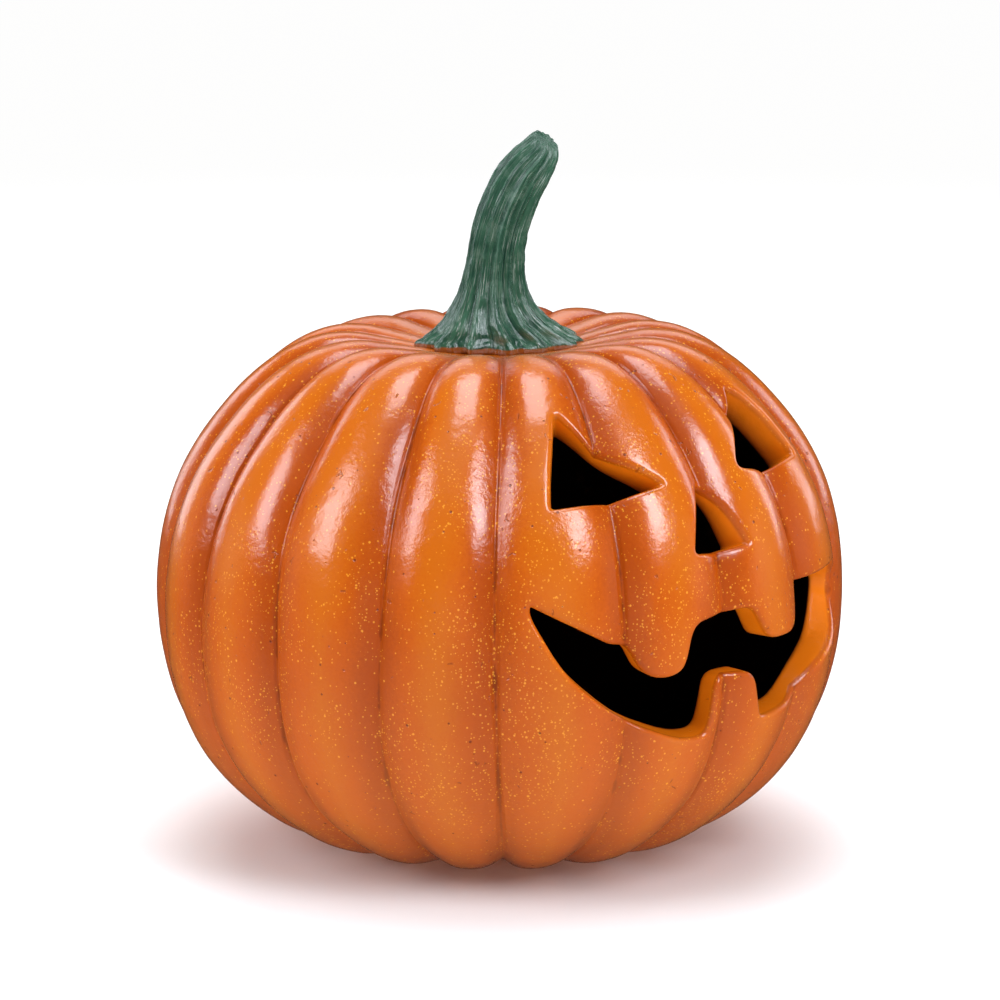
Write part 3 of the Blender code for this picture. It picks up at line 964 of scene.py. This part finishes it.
def makeOrange(spotGroup):
    material, tree, shader = newMaterial("orangeGlaze")
    place = tree.nodes.new("ShaderNodeTexCoord").outputs["Object"]
    wall = attributeNode(tree, "wallShare")
    x, _, z = splitPlace(tree, place)
    cloud = noiseNode(tree, place, *paint["cloud"])
    fog = noiseNode(tree, place, *paint["fog"])
    grain = noiseNode(tree, place, *paint["grain"])

    def ramp(value, name):
        return rampNode(tree, value, *paint[name])

    # airbrushed grooves, darkened further as painted shade, with a cloudy edge, which fade out towards the
    # crown
    flat = addNode(tree, "ShaderNodeVectorMath", operation="MULTIPLY", in_1=(1, 1, 0))
    tree.links.new(place, flat.inputs[0])
    radius = addNode(tree, "ShaderNodeVectorMath", operation="LENGTH")
    tree.links.new(flat.outputs[0], radius.inputs[0])
    crown = ramp(radius.outputs["Value"], "crownFade")
    lobe = mathNode(tree, "ADD", attributeNode(tree, "lobeShare"), crown)
    near = strayed(tree, lobe, cloud, paint["shadeCloud"])
    near = strayed(tree, near, fog, paint["shadeFog"])
    near = strayed(tree, near, grain, paint["shadeGrain"])
    # yellower crests, more so towards the top: the paint's second tone with a painted highlight
    crestAndTopShare = mathNode(tree, "ADD", near, ramp(z, "topHighlightHeight"))
    colour = mixColour(tree, ramp(crestAndTopShare, "crestToneAndHighlightEdge"), paint["orange"], paint["crestToneAndHighlight"])
    # darker grooves: airbrush with painted shade
    colour = tinted(tree, colour, ramp(near, "shadeEdge"), paint["shadeMix"], paint["groove"])
    # painted shade on one flank of each lobe, the right flank on one side of the body and the left flank on
    # the other
    away = mathNode(tree, "SUBTRACT", attributeNode(tree, "lobeSide"), ramp(x, "shadedFlankTurn"))
    away = strayed(tree, mathNode(tree, "ABSOLUTE", away), cloud, paint["shadedFlankCloud"])
    colour = tinted(tree, colour, ramp(away, "shadedFlankEdge"), paint["shadedFlankMix"], paint["groove"])
    # a dark line along the groove bottoms: pooled paint with painted crease shade
    creaseShadePool = strayed(tree, lobe, fog, *paint["creaseShadePoolFog"])
    colour = mixColour(tree, ramp(creaseShadePool, "creaseShadePoolEdge"), colour, paint["creaseShadePool"])
    # paler and pinker low down: a painted reflection of the floor, with a light dusting
    low = mathNode(tree, "ADD", z, mathNode(tree, "MULTIPLY", cloud, paint["floorSheenAndDustCloud"]))
    colour = mixColour(tree, ramp(low, "floorSheenAndDustHeight"), colour, paint["floorSheenAndDust"])

    # spatter, thick in some patches and thin in others
    patch = ramp(noiseNode(tree, place, *paint["spotPatches"]), "spotRange")
    masks = []
    for name in ("smallSpots", "largeSpots", "fineSpots"):
        scale, largest, share = paint[name]
        share = patch if share == 1 else mathNode(tree, "MULTIPLY", patch, share)
        masks.append(useSpots(tree, spotGroup, place, scale, largest, share))
    small, large, fine = masks
    spots = mathNode(tree, "MAXIMUM", small, large)
    spots = mathNode(tree, "MAXIMUM", spots, mathNode(tree, "MULTIPLY", fine, paint["fineMix"]))
    colour = tinted(tree, colour, spots, paint["spotMix"], paint["spot"])
    pits = useSpots(tree, spotGroup, place, *paint["pits"])
    colour = tinted(tree, colour, pits, paint["pitMix"], paint["pit"])

    # nicks, on parts of the edges between cells
    cells = addNode(tree, "ShaderNodeTexVoronoi", feature="DISTANCE_TO_EDGE")
    cells.inputs["Scale"].default_value = paint["nickCells"]
    tree.links.new(place, cells.inputs["Vector"])
    nicks = ramp(noiseNode(tree, place, *paint["nickPatches"]), "nickRange")
    nicks = mathNode(tree, "MULTIPLY", ramp(cells.outputs["Distance"], "nickWidth"), nicks)
    colour = tinted(tree, colour, nicks, paint["nickMix"], paint["pit"])

    # openings: returns in a lighter orange, partly painted light, with painted shade deep in the eyes and
    # nose and a painted fade to the near-black inside, which stands in for the shade in the hollow
    colour = mixColour(tree, ramp(wall, "wallEdge"), colour, paint["wall"])
    edge = strayed(tree, wall, fog, paint["wallFog"])
    # painted shade deep in the walls of the eyes and nose
    deep = mathNode(tree, "MULTIPLY", ramp(edge, "paintedWallShadeEdge"), ramp(z, "paintedWallShadeHeight"))
    colour = mixColour(tree, deep, colour, paint["paintedWallShade"])
    # painted fade to the near-black inside: painted shade at the inner end of the wall and in the hollow
    colour = mixColour(tree, ramp(edge, "hollowShadeEdge"), colour, paint["inside"])
    tree.links.new(colour, shader.inputs["Base Color"])

    rough = mathNode(tree, "ADD", ramp(fog, "roughRange"), ramp(wall, "roughWall"))
    tree.links.new(rough, shader.inputs["Roughness"])
    coat = mathNode(tree, "MULTIPLY", ramp(wall, "coatWall"), ramp(creaseShadePool, "coatCreaseShadePool"))
    tree.links.new(coat, shader.inputs["Coat Weight"])
    setShader(shader, paint["gloss"])

    # orange peel, leathery patches, grain, and pits and nicks
    leather = ramp(noiseNode(tree, place, *paint["leatherPatches"]), "leatherRange")
    leather = mathNode(tree, "MULTIPLY", noiseNode(tree, place, *paint["leather"]), leather)
    peel = noiseNode(tree, place, *paint["peel"])
    holes = mathNode(tree, "MAXIMUM", pits, nicks)
    heights = [(peel, paint["peelHeight"]), (leather, paint["leatherHeight"]),
               (grain, paint["grainHeight"]), (holes, paint["holeHeight"])]
    addBump(tree, shader, heights, *paint["bump"])
    return material


stemPaint = {
    "green": (0.040, 0.120, 0.070),
    "deep": (0.009, 0.040, 0.025),
    "pale": (0.16, 0.215, 0.175),
    "foot": (0.30, 0.070, 0.008),
    "knock": (0.006, 0.022, 0.014),
    # pale streaks: partly paint, partly painted glints
    "paleStreakAndGlint": (0.50, 0.55, 0.52),
    "fibreStretch": (1, 1, 0.22),
    # (scale, detail, roughness) of each noise
    "streak": (9, 4, 0.6),
    "thin": (40, 3, 0.6),
    "paleStreakAndGlintNoise": (62, 2, 0.5),
    "cloud": (110, 4, 0.6),
    "grain": (200, 2, 0.5),
    # (from, to, first, last) of each ramp
    "greenRange": (0.26, 0.68),
    "wornRange": (0.54, 0.68, 0.0, 0.55),
    "paleStreakAndGlintRange": (0.60, 0.66),
    "paleStreakAndGlintSpread": (0.46, 0.62, 0.0, 0.8),
    "rimHeight": (0.2325, 0.2334, 0.8, 0.0),
    "roughRange": (0.3, 0.7, 0.2, 0.3),
    # (scale, largest size, share of the cells that hold a spot)
    "specks": (700, 0.2, 0.25),
    "knocks": (130, 0.14, 0.3),
    # how far the clouds move the edge of a shade, and how much of a colour is mixed in
    "greenCloud": 0.5,
    "wornCloud": 0.5,
    "rimCloud": 0.0024,
    "speckMix": 0.5,
    "knockMix": 0.8,
    "streakHeight": 0.8,
    "thinHeight": 1.0,
    "grainHeight": 0.15,
    "bump": (0.28, 1.2),
    "gloss": {"Coat Weight": 1.0, "Coat Roughness": 0.05, "Coat IOR": 1.62, "Specular IOR Level": 0.2},
}


def makeGreen(spotGroup):
    material, tree, shader = newMaterial("greenGlaze")
    place = tree.nodes.new("ShaderNodeTexCoord").outputs["Object"]
    join = tree.nodes.new("ShaderNodeCombineXYZ")
    for k, key in enumerate(("ringX", "ringY", "ringAlong")):
        tree.links.new(attributeNode(tree, key), join.inputs[k])
    fibre = addNode(tree, "ShaderNodeMapping")
    fibre.inputs["Scale"].default_value = stemPaint["fibreStretch"]
    tree.links.new(join.outputs[0], fibre.inputs["Vector"])
    streak = noiseNode(tree, fibre.outputs[0], *stemPaint["streak"])
    thin = noiseNode(tree, fibre.outputs[0], *stemPaint["thin"])
    paleStreakAndGlintNoise = noiseNode(tree, fibre.outputs[0], *stemPaint["paleStreakAndGlintNoise"])
    cloud = noiseNode(tree, place, *stemPaint["cloud"])
    z = splitPlace(tree, place)[2]

    def ramp(value, name):
        return rampNode(tree, value, *stemPaint[name])

    # streaks of green with worn lines along them, and pale streaks that are partly paint and partly painted
    # glints
    green = ramp(strayed(tree, streak, cloud, stemPaint["greenCloud"]), "greenRange")
    colour = mixColour(tree, green, stemPaint["deep"], stemPaint["green"])
    worn = ramp(strayed(tree, thin, cloud, stemPaint["wornCloud"]), "wornRange")
    colour = mixColour(tree, worn, colour, stemPaint["pale"])
    # pale streaks along the stem, partly paint and partly painted glints
    paleStreakAndGlint = mathNode(tree, "MULTIPLY", ramp(paleStreakAndGlintNoise, "paleStreakAndGlintRange"), ramp(streak, "paleStreakAndGlintSpread"))
    colour = mixColour(tree, paleStreakAndGlint, colour, stemPaint["paleStreakAndGlint"])
    specks = useSpots(tree, spotGroup, place, *stemPaint["specks"])
    colour = tinted(tree, colour, specks, stemPaint["speckMix"], stemPaint["pale"])
    knocks = useSpots(tree, spotGroup, place, *stemPaint["knocks"])
    colour = tinted(tree, colour, knocks, stemPaint["knockMix"], stemPaint["knock"])

    # a brown edge where the glaze pooled round the foot
    rim = ramp(strayed(tree, z, cloud, stemPaint["rimCloud"]), "rimHeight")
    colour = mixColour(tree, rim, colour, stemPaint["foot"])
    tree.links.new(colour, shader.inputs["Base Color"])
    tree.links.new(ramp(cloud, "roughRange"), shader.inputs["Roughness"])
    setShader(shader, stemPaint["gloss"])
    grain = noiseNode(tree, place, *stemPaint["grain"])
    heights = [(streak, stemPaint["streakHeight"]), (thin, stemPaint["thinHeight"]),
               (grain, stemPaint["grainHeight"])]
    addBump(tree, shader, heights, *stemPaint["bump"])
    return material


# where the photo was taken from: metres, degrees, and pixels of a square picture
view = {
    "distance": 2.08,
    "elevation": 12.63,
    "azimuth": -40.19,
    "aimHeight": 0.119,
    "focal": 4449.4,
    "picture": 1000,
    "aimRow": 581.2,
    "sensor": 36,
    "shift": 0.0005,
}


def makeCamera():
    elevation, azimuth = math.radians(view["elevation"]), math.radians(view["azimuth"])
    camera = bpy.data.cameras.new("camera")
    eye = bpy.data.objects.new("camera", camera)
    bpy.context.scene.collection.objects.link(eye)
    camera.sensor_width = view["sensor"]
    camera.lens = view["focal"] / view["picture"] * view["sensor"]
    camera.shift_x = view["shift"]
    level, rise = view["distance"] * math.cos(elevation), view["distance"] * math.sin(elevation)
    eye.location = (math.sin(azimuth) * level, -math.cos(azimuth) * level, view["aimHeight"] + rise)
    down = elevation - math.atan((view["aimRow"] - view["picture"] / 2) / view["focal"])
    eye.rotation_euler = (math.pi / 2 - down, 0, azimuth)
    bpy.context.scene.camera = eye


room = {
    "floorSize": 60.0,
    "floorGap": 0.0002,
    "floorGloss": {"Roughness": 0.6, "Specular IOR Level": 0.2},
    "floorColour": (0.86, 0.858, 0.855, 1),
    "backdrop": (0.985, 0.983, 0.98, 1),
    "worldStrength": 0.03,
    "floorGlow": 0.30,
    "glossTint": (0.92, 0.955, 1.04),
    "paleDistance": (1.1, 2.5),
    "aimHeight": 0.13,
    "lights": [
        # (name, azimuth from the camera, elevation, distance, width, height, power,
        # how far behind the object it aims, whether it shows in gloss)
        ("leftBox", -68, 34, 2.6, 1.05, 1.6, 24, 0.0, True),
        ("rightBox", 45, 42, 2.6, 0.95, 1.6, 33, 0.0, True),
        ("topBox", 180, 80, 2.6, 1.1, 1.8, 22, 0.0, True),
        ("leftRim", -140, 14, 2.9, 1.0, 1.7, 9, 0.0, True),
        ("rightRim", 128, 16, 2.9, 0.9, 1.5, 8, 0.0, True),
        ("crownBox", 180, 32, 3.2, 2.6, 1.2, 9, 0.0, True),
        ("fillBox", 4, 6, 3.2, 2.8, 1.0, 25, 0.0, False),
        ("highFill", -10, 56, 3.2, 2.6, 2.0, 15, 0.0, False),
        ("topFill", 0, 84, 3.0, 2.6, 2.0, 42, 0.0, False),
        ("leftFill", -104, 5, 3.0, 1.6, 1.4, 58, 0.0, False),
        ("rightFill", 88, 5, 3.0, 1.6, 1.4, 46, 0.0, False),
        ("backBox", 180, 40, 5.5, 4.2, 3.0, 190, 3.4, False),
    ],
}


# far from the object the floor fades into the pale backdrop
def makeFloor():
    bpy.ops.object.select_all(action="DESELECT")
    bpy.ops.mesh.primitive_plane_add(size=room["floorSize"], location=(0, 0, -room["floorGap"]))
    floor = bpy.context.object
    floor.name = "studioFloor"
    material, tree, shader = newMaterial("paleFloor")
    setShader(shader, room["floorGloss"])
    reach = addNode(tree, "ShaderNodeVectorMath", operation="LENGTH")
    tree.links.new(tree.nodes.new("ShaderNodeTexCoord").outputs["Object"], reach.inputs[0])
    seen = tree.nodes.new("ShaderNodeLightPath").outputs["Is Camera Ray"]
    far = rampNode(tree, reach.outputs["Value"], *room["paleDistance"])
    unseen = mathNode(tree, "SUBTRACT", 1, seen)
    glow = mathNode(tree, "MULTIPLY", unseen, room["floorGlow"])
    glow = mathNode(tree, "ADD", mathNode(tree, "MULTIPLY", far, seen), glow)
    tree.links.new(glow, shader.inputs["Emission Strength"])
    tree.links.new(mixColour(tree, far, room["floorColour"], (0, 0, 0)), shader.inputs["Base Color"])
    shader.inputs["Emission Color"].default_value = room["backdrop"]
    floor.data.materials.append(material)
    floor.visible_glossy = False


# the camera sees the pale backdrop, and the object gets a weak even light
def makeWorld():
    world = bpy.data.worlds.new("studio")
    world.use_nodes = True
    sky, light = world.node_tree, world.node_tree.nodes["Background"]
    light.inputs[0].default_value = (1, 1, 1, 1)
    light.inputs[1].default_value = room["worldStrength"]
    backdrop = addNode(sky, "ShaderNodeBackground", in_0=room["backdrop"])
    either = sky.nodes.new("ShaderNodeMixShader")
    sky.links.new(sky.nodes.new("ShaderNodeLightPath").outputs["Is Camera Ray"], either.inputs[0])
    sky.links.new(light.outputs[0], either.inputs[1])
    sky.links.new(backdrop.outputs[0], either.inputs[2])
    sky.links.new(either.outputs[0], sky.nodes["World Output"].inputs[0])
    bpy.context.scene.world = world


def makeLights():
    for name, azimuth, elevation, distance, width, height, power, behind, inGloss in room["lights"]:
        lamp = bpy.data.lights.new(name, "AREA")
        lamp.shape, lamp.size, lamp.size_y, lamp.energy = "RECTANGLE", width, height, power
        holder = bpy.data.objects.new(name, lamp)
        holder.visible_camera, holder.visible_glossy = False, inGloss
        if inGloss:
            lamp.color = room["glossTint"]
        bpy.context.scene.collection.objects.link(holder)
        a, e = math.radians(azimuth + view["azimuth"]), math.radians(elevation)
        away = Vector((math.sin(a) * math.cos(e), -math.cos(a) * math.cos(e), math.sin(e)))
        holder.location = Vector((0, 0, room["aimHeight"])) + distance * away
        target = Vector((away.x * behind, away.y * behind, 0 if behind else room["aimHeight"]))
        holder.rotation_euler = (target - holder.location).to_track_quat("-Z", "Y").to_euler()


makeCamera()
makeFloor()
makeWorld()
makeLights()
print("set ready")
spotGroup = makeSpotGroup()
shell = makeShell()
shell.data.materials.append(makeOrange(spotGroup))
print("shell ready:", len(shell.data.polygons), "faces")
stemPiece = makeStem()
stemPiece.data.materials.append(makeGreen(spotGroup))
print("stem ready:", len(stemPiece.data.polygons), "faces")
for piece, node, slot in ((shell, "shell", "orange_paint"), (stemPiece, "stem", "green_paint")):
    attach(piece, "root")
    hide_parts(node)

bpy.context.scene.view_settings.view_transform = "Standard"
